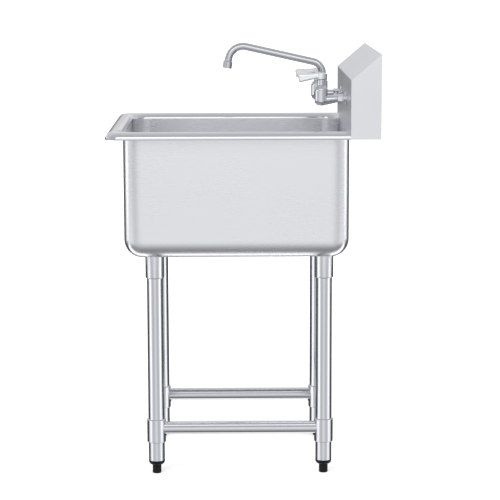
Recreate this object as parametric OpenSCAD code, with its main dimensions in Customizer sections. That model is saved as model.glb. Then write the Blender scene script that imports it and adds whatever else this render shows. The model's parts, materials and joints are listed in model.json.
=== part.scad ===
// Free-standing utility sink: a deep stainless bowl with a rolled rim and a boxed splashback on four
// tube legs, with a wall-fed faucet that has two levers and a swing spout.
// Millimetres, +Z up, +X to the user's right, +Y to the wall, origin on the floor under the middle.

/* [Overall] */
// Width across the rim and the splashback
sink_w = 610; // [540:1:760]
// Depth from the front of the rim to the wall
sink_d = 681; // [620:1:820]
// Height of the rim's flat top above the floor
rim_z = 891; // [820:1:960]
// Thickness of the sheet metal
sheet_t = 1.2; // [0.8:0.1:2]

/* [Rim] */
// Radius of the rolled outer edge
roll_r = 18; // [12:0.5:24]
// Width of the flat top between the roll and the cove
deck_w = 10; // [4:0.5:30]
// Radius of the cove that turns down into the bowl
cove_r = 15; // [8:0.5:20]
// Radius of the rim's front corners seen from above
rim_corner_r = 38; // [26:1:60]

/* [Bowl] */
// Depth of the bowl from the rim's top to its underside
bowl_depth = 321; // [240:1:360]
// Inside radius of the bowl's corners and bottom edges
bowl_r = 44.8; // [30:0.2:60]

/* [Splashback] */
// Depth of the boxed splashback
splash_d = 75; // [60:1:110]
// Height of its vertical front above the rim's top
splash_front_h = 127.5; // [100:0.5:180]
// Height of its back edge above the rim's top
splash_h = 191; // [185:1:260]
// Height of the lip that turns down along the back
splash_lip_h = 20; // [10:1:40]

/* [Legs] */
// Outside diameter of a leg
leg_d = 41.3; // [36:0.1:46]
// Wall of the leg and brace tubes
tube_t = 1.2; // [0.8:0.1:2]
// From the side of the rim to a leg's axis
leg_side_inset = 119.5; // [112:0.5:160]
// From the front of the rim to the front legs' axis
leg_front_inset = 116.5; // [112:0.5:160]
// From the wall to the rear legs' axis
leg_rear_inset = 134.5; // [120:0.5:170]
// Outside diameter of the sockets on the legs
socket_d = 48; // [46:0.5:52]
// Length of a leg socket below the bowl
leg_socket_h = 59; // [40:1:80]
// Height of the lower end of the brace sockets
brace_socket_z = 83; // [60:1:200]
// Length of a brace socket
brace_socket_h = 60; // [54:1:80]
// Height of the braces' axis above the lower end of their sockets
brace_rise = 36; // [30:0.5:40]
// Outside diameter of a brace
brace_d = 31.75; // [25:0.05:33]

/* [Feet] */
// Diameter of a foot
foot_d = 22.6; // [18:0.1:30]
// Height of a foot below its insert
foot_h = 22.5; // [14:0.5:30]
// Height of the insert's head below the leg
insert_head_h = 12.5; // [8:0.5:16]
// Length of the insert inside the leg
insert_plug_h = 35; // [20:1:50]
// Diameter of the foot's threaded stud
stud_d = 10; // [8:0.5:12]

/* [Faucet] */
// From centre to centre of the two inlets
inlet_centres = 203.2; // [152:0.1:260]
// Height of the inlets above the rim's top
inlet_rise = 67.5; // [55:0.5:80]
// From the splashback to the valves' axes
faucet_standoff = 64.2; // [60:0.1:80]
// From the valves' axes back to the spout's axis
spout_set_back = 8.1; // [0:0.1:10]
// Diameter of the centre barrel
centre_barrel_d = 27.6; // [26:0.2:34]
// Height of the centre barrel
centre_barrel_h = 58; // [56:0.5:60]
// Diameter of a valve barrel
valve_barrel_d = 33.6; // [31:0.2:40]
// Height of a valve barrel up to its shoulder
barrel_h = 43; // [41:0.5:46]
// From the barrels' underside up to the inlets' axis
barrel_drop = 17.5; // [14:0.5:22]

/* [Spout] */
// Outside diameter of the spout tube
spout_d = 19; // [16:0.5:22]
// From the upright to the outlet's corner
spout_reach = 238.2; // [150:0.1:300]
// Height above the rim's top where the rising run would meet the upright's axis
spout_corner_h = 151; // [150:0.5:180]
// Rise of the run above level, in degrees
spout_rise_a = 12.7; // [10:0.1:20]
// Centre-line radius of the bend over the upright
rear_bend_r = 31.4; // [24:0.2:33]
// Centre-line radius of the bend at the outlet
front_bend_r = 38.5; // [28:0.5:40]
// Forward lean of the outlet, in degrees
outlet_lean_a = 8.6; // [5:0.1:15]
// From the outlet's corner along the outlet to its mouth
outlet_drop = 65.3; // [63:0.1:80]

/* [Levers] */
// From a lever's axis to its tip
lever_len = 60; // [45:0.5:75]
// Width of a lever's tip
lever_tip_w = 12; // [11:0.5:24]
// Height of a lever at its tip
lever_tip_h = 22.5; // [16:0.5:26]
// Height of a lever where it leaves its hub
lever_root_h = 12; // [10:0.5:14]
// Diameter of a lever's hub
lever_hub_d = 26; // [24:0.5:32]

/* [Drain] */
// Diameter of the drain's flange
drain_flange_d = 112; // [108:1:120]
// Outside diameter of the drain's cup
drain_cup_d = 85; // [80:0.5:92]
// Depth of the cup below the flange
drain_cup_h = 15; // [14:0.5:22]
// Outside diameter of the outlet thread
drain_tail_d = 47.8; // [38:0.2:52]
// Length of the outlet thread
drain_tail_h = 14; // [10:0.5:20]

/* [Hidden] */
legs = [["front_left", -1, -1], ["front_right", 1, -1], ["rear_left", -1, 1], ["rear_right", 1, 1]];
sides = [["left", -1], ["right", 1]];
$fn = 64;
hull_fn = 24;
hex = 6;
hex_turn = 30;

// Overrun of every cut
over = 5;
// Clearance of a shaft in its hole, and of a piece fitted in another
fit = 0.05;
// Gap under a piece that rests on another
seat = 0.3;
// Small rounding on turned edges
edge = 1;

// Faces of the outline and of the bowl
front_y = -sink_d / 2;
wall_y = sink_d / 2;
rim_w = roll_r + deck_w + cove_r;
splash_y = wall_y - splash_d;
bowl_hx = sink_w / 2 - rim_w;
bowl_hy = (splash_y - front_y - rim_w) / 2;
bowl_cy = (splash_y + front_y + rim_w) / 2;
bowl_top_z = rim_z - cove_r;
bowl_under_z = rim_z - bowl_depth;
floor_z = bowl_under_z + sheet_t;

// Pressed seat for the drain
drain_seat_drop = 4;
drain_seat_gap = 2;
drain_hole_gap = 1;

// Splashback
splash_front_z = rim_z + splash_front_h;
splash_top_z = rim_z + splash_h;
splash_a = atan((splash_h - splash_front_h) / splash_d);
cap_z = rim_z - roll_r;

// Legs and sockets
leg_r = leg_d / 2;
leg_in_r = leg_r - tube_t;
leg_x = sink_w / 2 - leg_side_inset;
leg_front_y = front_y + leg_front_inset;
leg_rear_y = wall_y - leg_rear_inset;
leg_z = foot_h + insert_head_h;
socket_r = socket_d / 2;
socket_cap_t = 5;
socket_edge_r = 3;
socket_fit = 0.1;
leg_top_z = bowl_under_z - socket_cap_t - seat;
brace_z = brace_socket_z + brace_rise;
brace_r = brace_d / 2;
spigot_r = brace_r - tube_t - fit;
spigot_len = 22;
set_screw_r = 2.4;
set_screw_proud = 1.6;
hex_share = 0.55;
leg_socket_screw_share = 0.4;

// Feet
foot_edge_r = 2;
// Straight side of the insert's head above its rounding
insert_side_h = 2.5;
stud_r = stud_d / 2;
stud_travel = 20;
stud_bury_share = 0.8;

// Faucet, shared heights and radii
inlet_z = rim_z + inlet_rise;
valve_x = inlet_centres / 2;
faucet_y = splash_y - faucet_standoff;
spout_y = faucet_y + spout_set_back;
barrel_z = inlet_z - barrel_drop;
shoulder_z = barrel_z + barrel_h;
barrel_edge_r = 12;
shoulder_h = 9;
shoulder_in = 6.7;
barrel_top_z = shoulder_z + shoulder_h;
bridge_r = 10;
water_r = 6;
bore_floor_h = 8;

// Inlet arms, couplings and shanks
arm_root_r = 14;
arm_end_r = 9.5;
arm_run = 43.2;
arm_thread_r = 8.6;
arm_thread_len = 6;
arm_cut = 1.2;
arm_tip = arm_run + arm_thread_len;
nut_r = 12.4;
nut_len = 14;
nut_lip = 4;
shank_neck_r = 7.5;
shank_thread_r = 11.6;
shank_thread_proud = 2;
shank_tail_r = 10.45;
shank_len = 64;
flange_r = 17.5;
flange_t = 4.3;
flange_edge_r = 3;
locknut_r = 17;
locknut_t = 8;
washer_r = 16;
washer_t = 2;
union_washer_t = 1.5;

// Valves
valve_bore_r = 8.6;
bonnet_r = 10;
bonnet_h = 15;
bonnet_thread_h = 9;
stem_r = 4;
stem_foot_h = 14;
hub_h = 16.5;
hub_edge_r = 3;
hub_cap_t = 4;
lever_edge_r = 4;
lever_tip_r = 5;
lever_tip_slant = 3.5;
lever_root_w = 22;
lever_root_drop = 0.5;
lever_tip_drop = 3;
lever_root_a_share = 0.16;
lever_screw_r = 2.2;
lever_cap_r = 6;
lever_cap_t = 1.4;

// Spout joint
neck_r = 11;
neck_h = 9;
spout_wall = 1.2;
bend_lap = 0.5;
bend_step = 0.03;
spout_plug_h = 32;
spout_ring_r = 10.8;
spout_ring_t = 3;
spout_nut_r = 12.8;
spout_nut_h = 15;
spout_nut_lip = 4;
centre_top_z = barrel_z + centre_barrel_h;
neck_top_z = centre_top_z + neck_h;
spout_roof_z = neck_top_z + spout_ring_t + 2 * seat;
spout_nut_z = spout_roof_z - spout_nut_h + spout_nut_lip;
seal_r = 1.3;
seal_gap = 8;
aerator_r = 11.7;
aerator_top_r = 11.9;
aerator_neck_r = 10.2;
aerator_slope_h = 2.5;
aerator_h = 19.5;
aerator_lip = 3;
aerator_insert_h = 7;
aerator_rim_w = 1.1;
aerator_hole_r = 1.1;
aerator_holes = 6;
aerator_ring_share = 0.6;

// Spout's bends, in the plane that points forward from the upright
rear_bend_a = 90 - spout_rise_a;
front_bend_a = 90 + spout_rise_a - outlet_lean_a;
rear_tan = rear_bend_r * tan(rear_bend_a / 2);
front_tan = front_bend_r * tan(front_bend_a / 2);
spout_z0 = neck_top_z - spout_plug_h;
spout_corner_z = rim_z + spout_corner_h;
run_len = spout_reach / cos(spout_rise_a) - rear_tan - front_tan;

// Drain
drain_seat_z = floor_z - drain_seat_drop;
drain_flange_r = drain_flange_d / 2;
drain_flange_t = 2.5;
drain_cup_r = drain_cup_d / 2;
drain_wall = 2;
drain_tail_r = drain_tail_d / 2;
drain_tail_wall = 3.5;
drain_cup_z = drain_seat_z - drain_cup_h;
gasket_w = 10;
gasket_t = 3;
drain_locknut_w = 8;
drain_locknut_t = 6;
drain_lugs = 6;
lug_w = 8;
lug_proud = 4;

// Basket strainer
basket_gap = 2;
basket_t = 1;
basket_h = 10;
basket_floor_r_share = 0.84;
strainer_hole_r = 2.4;
strainer_holes = 22;
strainer_ring_share = 0.87;
stopper_r_share = 0.75;
stopper_t = 2.6;
knob_r = 7;
knob_h = 5;
post_r = 3;
post_h = 8;

// Outlines

module rounded_rect(hx, hy, r) {
    square([2 * (hx - r), 2 * hy], center = true);
    square([2 * hx, 2 * (hy - r)], center = true);
    for (x = [-1, 1], y = [-1, 1]) translate([x * (hx - r), y * (hy - r)]) circle(r);
}

// A quarter of a disc, or of a ring of thickness t, on the chosen side of its centre
module quarter(r, x, y, t = 0) {
    intersection() {
        difference() {
            circle(r);
            if (t > 0) circle(r - t);
        }
        translate([x < 0 ? -r : 0, y < 0 ? -r : 0]) square(r);
    }
}

// An outline that stands up along one side of the bowl's plan and round the corner after it
module along_bowl(side, grow, straight, corner) {
    r = bowl_r + grow;
    hx = bowl_hx + grow;
    hy = bowl_hy + grow;
    half = side % 2 == 0 ? hx : hy;
    run = (side % 2 == 0 ? hy : hx) - r;
    translate([0, bowl_cy, 0]) rotate(side * 90) {
        if (straight) translate([half - r, run, 0]) rotate([90, 0, 0]) linear_extrude(2 * run)
            translate([r, 0]) children();
        if (corner) translate([half - r, run, 0]) rotate_extrude(angle = 90)
            translate([r, 0]) children();
    }
}

// The bowl as a solid, grown outwards from its inner faces
module bowl_form(grow, extra) {
    r = bowl_r + grow;
    hx = bowl_hx + grow;
    hy = bowl_hy + grow;
    translate([0, bowl_cy, floor_z + bowl_r])
        linear_extrude(bowl_top_z - floor_z - bowl_r + extra) rounded_rect(hx, hy, r);
    translate([-(hx - r), bowl_cy - (hy - r), floor_z - grow]) cube([2 * (hx - r), 2 * (hy - r), r]);
    for (side = [0:3]) translate([0, 0, floor_z + bowl_r])
        along_bowl(side, grow, true, true) translate([-r, 0]) quarter(r, 1, -1);
}

// A ring or rod on the Z axis with its chosen ends rounded
module round_rod(r, h, low_edge = 0, high_edge = 0) {
    rotate_extrude() {
        if (h > low_edge + high_edge) translate([0, low_edge]) square([r, h - low_edge - high_edge]);
        if (low_edge > 0) {
            square([r - low_edge, low_edge]);
            translate([r - low_edge, low_edge]) quarter(low_edge, 1, -1);
        }
        if (high_edge > 0) {
            translate([0, h - high_edge]) square([r - high_edge, high_edge]);
            translate([r - high_edge, h - high_edge]) quarter(high_edge, 1, 1);
        }
    }
}

module at_leg(place) {
    translate([place[1] * leg_x, place[2] < 0 ? leg_front_y : leg_rear_y, 0]) children();
}

module at_valve(side) {
    translate([side[1] * valve_x, faucet_y, 0]) children();
}

// A cylinder that points to the wall, from one Y to another, on an inlet's axis
module inlet_rod(r, y0, y1) {
    translate([0, y0, inlet_z]) rotate([-90, 0, 0]) cylinder(r = r, h = y1 - y0);
}

// Sheet-metal body

module bowl() {
    seat_r = drain_flange_r + drain_seat_gap;
    color("gainsboro") difference() {
        union() {
            bowl_form(sheet_t, 0);
            translate([0, bowl_cy, bowl_under_z - drain_seat_drop])
                cylinder(r = seat_r + sheet_t, h = drain_seat_drop + sheet_t);
        }
        bowl_form(0, over);
        translate([0, bowl_cy, drain_seat_z]) cylinder(r = seat_r, h = drain_seat_drop + over);
        translate([0, bowl_cy, drain_seat_z - over])
            cylinder(r = drain_cup_r + drain_hole_gap, h = 2 * over);
    }
}

module deck_outline() {
    hx = sink_w / 2 - roll_r;
    r = rim_corner_r - roll_r;
    y0 = front_y + roll_r;
    translate([-hx, y0 + r]) square([2 * hx, splash_y - y0 - r]);
    translate([-(hx - r), y0]) square([2 * (hx - r), r]);
    for (x = [-1, 1]) translate([x * (hx - r), y0 + r]) circle(r);
}

// The whole rim, before it is cut at its welded mitres
module rim_sheet() {
    half = sink_w / 2;
    path_r = rim_corner_r - roll_r;
    translate([0, 0, rim_z - sheet_t]) linear_extrude(sheet_t) difference() {
        deck_outline();
        translate([0, bowl_cy]) rounded_rect(bowl_hx + cove_r, bowl_hy + cove_r, bowl_r + cove_r);
    }
    intersection() {
        for (side = [0:3]) translate([0, 0, bowl_top_z]) along_bowl(side, 0, side != 1, true)
            translate([cove_r, 0]) quarter(cove_r, -1, 1, sheet_t);
        translate([-half, front_y, bowl_top_z - over])
            cube([sink_w, splash_y - front_y, cove_r + 2 * over]);
    }
    translate([0, 0, rim_z - roll_r]) {
        for (x = [0, 1]) mirror([x, 0, 0]) {
            translate([half - roll_r, splash_y, 0]) rotate([90, 0, 0])
                linear_extrude(splash_y - front_y - rim_corner_r) quarter(roll_r, 1, 1, sheet_t);
            translate([half - rim_corner_r, front_y + rim_corner_r, 0]) rotate(-90)
                rotate_extrude(angle = 90) translate([path_r, 0]) quarter(roll_r, 1, 1, sheet_t);
        }
        translate([half - rim_corner_r, front_y + roll_r, 0]) rotate([90, 0, -90])
            linear_extrude(2 * (half - rim_corner_r)) quarter(roll_r, 1, 1, sheet_t);
    }
}

// The part of the rim that lies over an outline
module rim_strip(outline) {
    color("gainsboro") intersection() {
        rim_sheet();
        translate([0, 0, rim_z - roll_r - over]) linear_extrude(roll_r + 2 * over) polygon(outline);
    }
}

// The mitres run from the rim's outer corners to the middles of the bowl's corner arcs
mitre_run = rim_w + bowl_r;
mitre_out = [sink_w / 2 + over, front_y - over];
mitre_in = [sink_w / 2 - mitre_run, front_y + mitre_run];

module rim_front() {
    rim_strip([[-mitre_out.x, mitre_out.y], mitre_out, mitre_in, [-mitre_in.x, mitre_in.y]]);
}

module rim_side(side) {
    back_y = splash_y + over;
    mirror([side[1] < 0 ? 1 : 0, 0, 0])
        rim_strip([mitre_out, [mitre_out.x, back_y], [0, back_y], [0, mitre_in.y], mitre_in]);
}

// Side view of the splashback, Y to the right and Z up, set in by t
module splash_outline(z0, t) {
    drop = t / cos(splash_a);
    front = splash_y + t;
    back = wall_y - t;
    rise = tan(splash_a);
    polygon([[front, z0], [front, splash_front_z + t * rise - drop],
        [back, splash_top_z - t * rise - drop], [back, z0]]);
}

module splash_panel() {
    width = sink_w - 2 * sheet_t;
    color("silver") difference() {
        translate([-width / 2, 0, 0]) rotate([90, 0, 90]) linear_extrude(width) difference() {
            splash_outline(bowl_top_z, 0);
            splash_outline(bowl_top_z - over, sheet_t);
            translate([wall_y - sheet_t - over, bowl_top_z - over])
                square([sheet_t + 2 * over, splash_top_z - splash_lip_h - bowl_top_z + over]);
        }
        for (side = sides) translate([side[1] * valve_x, 0, 0])
            inlet_rod(shank_thread_r + seat, splash_y - over, splash_y + over);
    }
}

module splash_cap(side) {
    color("gainsboro") translate([side[1] * (sink_w - sheet_t) / 2 - sheet_t / 2, 0, 0])
        rotate([90, 0, 90]) linear_extrude(sheet_t) splash_outline(cap_z, 0);
}

// Legs, sockets and braces

module leg_socket_screw_place() {
    z = bowl_under_z - leg_socket_h * (1 - leg_socket_screw_share);
    translate([0, 0, z]) rotate([0, 90, 0]) children();
}

module leg_socket(place) {
    z0 = bowl_under_z - leg_socket_h;
    color("gainsboro") difference() {
        at_leg(place) difference() {
            translate([0, 0, z0]) round_rod(socket_r, leg_socket_h + bowl_r / 2, socket_edge_r);
            translate([0, 0, z0 - over])
                cylinder(r = leg_r + socket_fit, h = leg_socket_h - socket_cap_t + over);
            mirror([place[1] < 0 ? 0 : 1, 0, 0]) leg_socket_screw_place()
                cylinder(r = set_screw_r + fit, h = socket_r + over);
        }
        bowl_form(sheet_t, 0);
    }
}

module leg() {
    color("gainsboro") translate([0, 0, leg_z]) difference() {
        cylinder(r = leg_r, h = leg_top_z - leg_z);
        translate([0, 0, -over]) cylinder(r = leg_in_r, h = leg_top_z - leg_z + 2 * over);
    }
}

// Turned so that +Y is the way to the other leg of the same side
module brace_socket(place) {
    mirror([0, place[2] < 0 ? 0 : 1, 0]) color("gainsboro") difference() {
        union() {
            translate([0, 0, brace_socket_z])
                round_rod(socket_r, brace_socket_h, socket_edge_r / 2, socket_edge_r / 2);
            translate([0, 0, brace_z]) rotate([-90, 0, 0])
                cylinder(r = spigot_r, h = socket_r + spigot_len);
        }
        translate([0, 0, brace_socket_z - over])
            cylinder(r = leg_r + socket_fit, h = brace_socket_h + 2 * over);
        brace_screw_place() cylinder(r = set_screw_r + fit, h = socket_r + over);
    }
}

module brace_screw_place() {
    translate([0, 0, brace_z - brace_r - seat - set_screw_r]) rotate([-90, 0, 0]) children();
}

module set_screw() {
    start = leg_r + fit;
    len = socket_r + set_screw_proud - start;
    translate([0, 0, start]) difference() {
        cylinder(r = set_screw_r, h = len);
        translate([0, 0, len / 2]) cylinder(r = set_screw_r * hex_share, h = len, $fn = hex);
    }
}

module leg_socket_screws() {
    color("dimgray") for (place = legs) at_leg(place) mirror([place[1] < 0 ? 0 : 1, 0, 0])
        leg_socket_screw_place() set_screw();
}

module brace_socket_screws() {
    color("dimgray") for (place = legs) at_leg(place) mirror([0, place[2] < 0 ? 0 : 1, 0])
        brace_screw_place() set_screw();
}

module socket_screws() {
    leg_socket_screws();
    brace_socket_screws();
}

module side_brace(side) {
    len = leg_rear_y - leg_front_y;
    color("gainsboro") translate([side[1] * leg_x, leg_front_y, 0]) difference() {
        translate([0, 0, brace_z]) rotate([-90, 0, 0]) difference() {
            cylinder(r = brace_r, h = len);
            translate([0, 0, -over]) cylinder(r = brace_r - tube_t, h = len + 2 * over);
        }
        for (y = [0, len]) translate([0, y, brace_socket_z]) cylinder(r = socket_r, h = brace_socket_h);
    }
}

// Feet

module foot_insert() {
    color("#222428") difference() {
        union() {
            translate([0, 0, foot_h]) round_rod(leg_r, insert_head_h, insert_head_h - insert_side_h);
            translate([0, 0, leg_z]) cylinder(r = leg_in_r - fit, h = insert_plug_h);
        }
        translate([0, 0, foot_h - over]) cylinder(r = stud_r + fit, h = leg_z + insert_plug_h);
    }
}

module foot() {
    color("#222428") difference() {
        round_rod(foot_d / 2, foot_h - seat, foot_edge_r);
        translate([0, 0, foot_h * (1 - stud_bury_share)]) cylinder(r = stud_r + fit, h = foot_h);
    }
}

module foot_stud() {
    z0 = foot_h * (1 - stud_bury_share) + fit;
    color("silver") translate([0, 0, z0]) cylinder(r = stud_r, h = leg_z + insert_plug_h - z0);
}

// Faucet

module valve_barrel() {
    r = valve_barrel_d / 2;
    translate([0, 0, barrel_z]) round_rod(r, barrel_h, barrel_edge_r);
    translate([0, 0, shoulder_z]) cylinder(r1 = r, r2 = r - shoulder_in, h = shoulder_h);
}

module centre_barrel() {
    translate([0, 0, barrel_z]) round_rod(centre_barrel_d / 2, centre_barrel_h, barrel_edge_r, edge);
    translate([0, 0, centre_top_z]) cylinder(r = neck_r, h = neck_h);
}

// A cast arm whose top is level and whose underside rises to the wall, cut square at its end
module inlet_arm() {
    low_root = inlet_z - (arm_root_r - arm_end_r);
    lean = atan((inlet_z - low_root) / arm_run);
    difference() {
        translate([0, 0, low_root]) rotate([lean - 90, 0, 0])
            cylinder(r1 = arm_root_r, r2 = arm_end_r, h = arm_run / cos(lean));
        translate([-arm_root_r, arm_run - arm_cut, barrel_z - over])
            cube([2 * arm_root_r, over + arm_cut, barrel_h]);
    }
    inlet_rod(arm_thread_r, arm_run - arm_cut - over, arm_tip);
}

module faucet_body() {
    color("#d8dade") difference() {
        union() {
            translate([0, spout_y, 0]) centre_barrel();
            translate([-valve_x, faucet_y, inlet_z]) rotate([0, 90, 0])
                cylinder(r = bridge_r, h = inlet_centres);
            for (side = sides) at_valve(side) {
                valve_barrel();
                inlet_arm();
            }
        }
        translate([0, spout_y, barrel_z + bore_floor_h])
            cylinder(r = spout_d / 2 + fit, h = neck_top_z - barrel_z - bore_floor_h + over);
        translate([-valve_x, faucet_y, inlet_z]) rotate([0, 90, 0])
            cylinder(r = water_r, h = inlet_centres);
        for (side = sides) at_valve(side) {
            translate([0, 0, barrel_z + bore_floor_h]) cylinder(r = valve_bore_r, h = barrel_h + over);
            inlet_rod(water_r, 0, arm_tip + over);
        }
    }
}

// Places along an inlet's axis, measured from the upright axis to the wall
nut_start = arm_run - arm_cut + seat;
shank_start = arm_tip + union_washer_t + 2 * fit;
nut_end = nut_start + nut_len;

module coupling_nuts() {
    color("#d8dade") for (side = sides) at_valve(side) difference() {
        intersection() {
            translate([0, nut_start, inlet_z]) rotate([-90, hex_turn, 0])
                cylinder(r = nut_r, h = nut_len, $fn = hex);
            translate([0, nut_start, inlet_z]) rotate([-90, 0, 0])
                round_rod(nut_r - seat, nut_len, edge, edge);
        }
        inlet_rod(arm_thread_r + fit, nut_start - over, nut_end - nut_lip);
        inlet_rod(shank_neck_r + fit, nut_start, nut_end + over);
    }
}

module inlet_shanks() {
    head_t = nut_end - nut_lip - fit - shank_start;
    thread_end = faucet_standoff + sheet_t + washer_t + locknut_t + shank_thread_proud;
    color("#c9b27a") for (side = sides) at_valve(side) difference() {
        union() {
            inlet_rod(arm_thread_r, shank_start, shank_start + head_t);
            inlet_rod(shank_neck_r, shank_start, faucet_standoff - flange_t);
            inlet_rod(shank_thread_r, faucet_standoff - flange_t, thread_end);
            inlet_rod(shank_tail_r, thread_end, faucet_standoff + shank_len);
        }
        inlet_rod(water_r, shank_start - over, faucet_standoff + shank_len + over);
    }
}

module union_washers() {
    color("#303030") for (side = sides) at_valve(side) difference() {
        inlet_rod(arm_thread_r, arm_tip + fit, shank_start - fit);
        inlet_rod(water_r, arm_tip, shank_start);
    }
}

module wall_flanges() {
    color("#d8dade") for (side = sides) at_valve(side) difference() {
        translate([0, faucet_standoff, inlet_z]) rotate([90, 0, 0])
            round_rod(flange_r, flange_t, 0, flange_edge_r);
        inlet_rod(shank_thread_r + fit, faucet_standoff - flange_t - over, faucet_standoff + over);
    }
}

module panel_washers() {
    start = faucet_standoff + sheet_t;
    color("#303030") for (side = sides) at_valve(side) difference() {
        inlet_rod(washer_r, start, start + washer_t);
        inlet_rod(shank_thread_r + fit, start - over, start + washer_t + over);
    }
}

module inlet_washers() {
    panel_washers();
    union_washers();
}

module shank_locknuts() {
    start = faucet_standoff + sheet_t + washer_t;
    color("#c9b27a") for (side = sides) at_valve(side) difference() {
        translate([0, start, inlet_z]) rotate([-90, 0, 0])
            cylinder(r = locknut_r, h = locknut_t, $fn = hex);
        inlet_rod(shank_thread_r + fit, start - over, start + locknut_t + over);
    }
}

// Valves and levers

bonnet_z = barrel_top_z - bonnet_thread_h;
bonnet_top_z = barrel_top_z + bonnet_h;
stem_z = bonnet_z - stem_foot_h;
hub_z = bonnet_top_z + seat;
hub_top_z = hub_z + hub_h;
stem_top_z = hub_top_z - hub_cap_t;
cartridge_z = inlet_z + water_r;

module bonnets() {
    color("#d8dade") for (side = sides) at_valve(side) difference() {
        union() {
            translate([0, 0, bonnet_z]) cylinder(r = valve_bore_r - fit, h = bonnet_thread_h);
            translate([0, 0, barrel_top_z]) round_rod(bonnet_r, bonnet_h, 0, edge);
        }
        translate([0, 0, bonnet_z - over])
            cylinder(r = stem_r + fit, h = bonnet_thread_h + bonnet_h + 2 * over);
    }
}

module cartridges() {
    color("#efe9d8") for (side = sides) at_valve(side) difference() {
        translate([0, 0, cartridge_z]) cylinder(r = valve_bore_r - fit, h = bonnet_z - fit - cartridge_z);
        translate([0, 0, stem_z - fit]) cylinder(r = stem_r + fit, h = bonnet_z);
        translate([0, 0, cartridge_z - over]) cylinder(r = stem_r / 2, h = bonnet_z);
    }
}

module valve_stem(side) {
    color("#c9b27a") at_valve(side) difference() {
        translate([0, 0, stem_z]) cylinder(r = stem_r, h = stem_top_z - stem_z - fit);
        translate([0, 0, bonnet_top_z]) cylinder(r = lever_screw_r + fit, h = hub_h);
    }
}

// The paddle's eight rounded corners, held between the hub and the tip
module lever_paddle() {
    root_top = hub_top_z - lever_root_drop;
    tip_top = hub_top_z - lever_tip_drop;
    root = lever_hub_d * lever_root_a_share;
    tip = lever_len - lever_tip_r;
    hull() {
        for (x = [-1, 1]) {
            root_x = x * (lever_root_w / 2 - lever_edge_r);
            tip_x = x * (lever_tip_w / 2 - lever_tip_r);
            for (z = [root_top - lever_edge_r, root_top - lever_root_h + lever_edge_r])
                translate([root_x, -root, z]) sphere(lever_edge_r, $fn = hull_fn);
            translate([tip_x, -tip, tip_top - lever_tip_r]) sphere(lever_tip_r, $fn = hull_fn);
            translate([tip_x, lever_tip_slant - tip, tip_top - lever_tip_h + lever_tip_r])
                sphere(lever_tip_r, $fn = hull_fn);
        }
    }
}

module lever(side) {
    color("#e4e6ea") at_valve(side) difference() {
        union() {
            translate([0, 0, hub_z]) round_rod(lever_hub_d / 2, hub_h, 0, hub_edge_r);
            lever_paddle();
        }
        translate([0, 0, hub_z - lever_tip_h])
            cylinder(r = stem_r + fit, h = stem_top_z - hub_z + lever_tip_h);
        translate([0, 0, hub_z]) cylinder(r = lever_screw_r + fit, h = hub_h + over);
        translate([0, 0, hub_top_z - lever_cap_t]) cylinder(r = lever_cap_r + fit, h = over);
    }
}

module lever_screw(side) {
    color("#d8dade") at_valve(side) {
        translate([0, 0, bonnet_top_z + fit])
            cylinder(r = lever_screw_r, h = hub_top_z - bonnet_top_z - lever_cap_t);
        translate([0, 0, hub_top_z - lever_cap_t + fit])
            round_rod(lever_cap_r, lever_cap_t, 0, lever_cap_t / 2);
    }
}

// Spout

module ring_outline(r, t) {
    difference() {
        circle(r);
        if (t > 0) circle(r - t);
    }
}

// A bend that starts at the origin along +Z and leans over to +X, lapping into its neighbours
module bend(path_r, a, r, t) {
    lap_a = atan(bend_lap / path_r);
    translate([path_r, 0, 0]) rotate([90, 0, 180]) rotate(-lap_a) rotate_extrude(angle = a + 2 * lap_a)
        translate([path_r, 0]) ring_outline(r - bend_step, t > 0 ? t - 2 * bend_step : 0);
}

// The end of such a bend, with +Z along the way out
module after_bend(path_r, a) {
    translate([path_r * (1 - cos(a)), 0, path_r * sin(a)]) rotate([0, a, 0]) children();
}

// The end of the upright, +Z up and +X to the front
module at_upright() {
    translate([0, spout_y, spout_corner_z - rear_tan]) rotate(-90) children();
}

// The end of the bend over the bowl, +Z down the outlet
module at_outlet() {
    at_upright() after_bend(rear_bend_r, rear_bend_a) translate([0, 0, run_len])
        after_bend(front_bend_r, front_bend_a) children();
}

// The mouth, +Z out of it
module at_mouth() {
    at_outlet() translate([0, 0, outlet_drop - front_tan]) children();
}

// The spout's path from height z0 to the end of the tube, a rod of radius r or a tube of wall t
module spout_path(z0, r, t = 0) {
    translate([0, spout_y, z0]) linear_extrude(spout_corner_z - rear_tan - z0) ring_outline(r, t);
    at_upright() {
        bend(rear_bend_r, rear_bend_a, r, t);
        after_bend(rear_bend_r, rear_bend_a) {
            linear_extrude(run_len) ring_outline(r, t);
            translate([0, 0, run_len]) bend(front_bend_r, front_bend_a, r, t);
        }
    }
    at_outlet() linear_extrude(outlet_drop - front_tan - aerator_lip) ring_outline(r, t);
}

module at_seals() {
    for (i = [1, 2]) translate([0, spout_y, spout_z0 + i * seal_gap]) children();
}

module spout() {
    r = spout_d / 2;
    color("#d8dade") {
        spout_path(neck_top_z, r, spout_wall);
        difference() {
            union() {
                translate([0, spout_y, spout_z0]) cylinder(r = r, h = neck_top_z - spout_z0);
                translate([0, spout_y, neck_top_z + seat]) cylinder(r = spout_ring_r, h = spout_ring_t);
                translate([0, spout_y, neck_top_z]) cylinder(r = r - fit, h = spout_ring_t);
            }
            translate([0, spout_y, spout_z0 - over])
                cylinder(r = water_r, h = spout_plug_h + spout_ring_t + 2 * over);
            at_seals() rotate_extrude() translate([r - 2 * seal_r - fit, -seal_r - fit])
                square([over, 2 * (seal_r + fit)]);
        }
    }
}

module spout_seals() {
    color("#202020") at_seals() rotate_extrude() translate([spout_d / 2 - seal_r, 0]) circle(seal_r);
}

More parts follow.
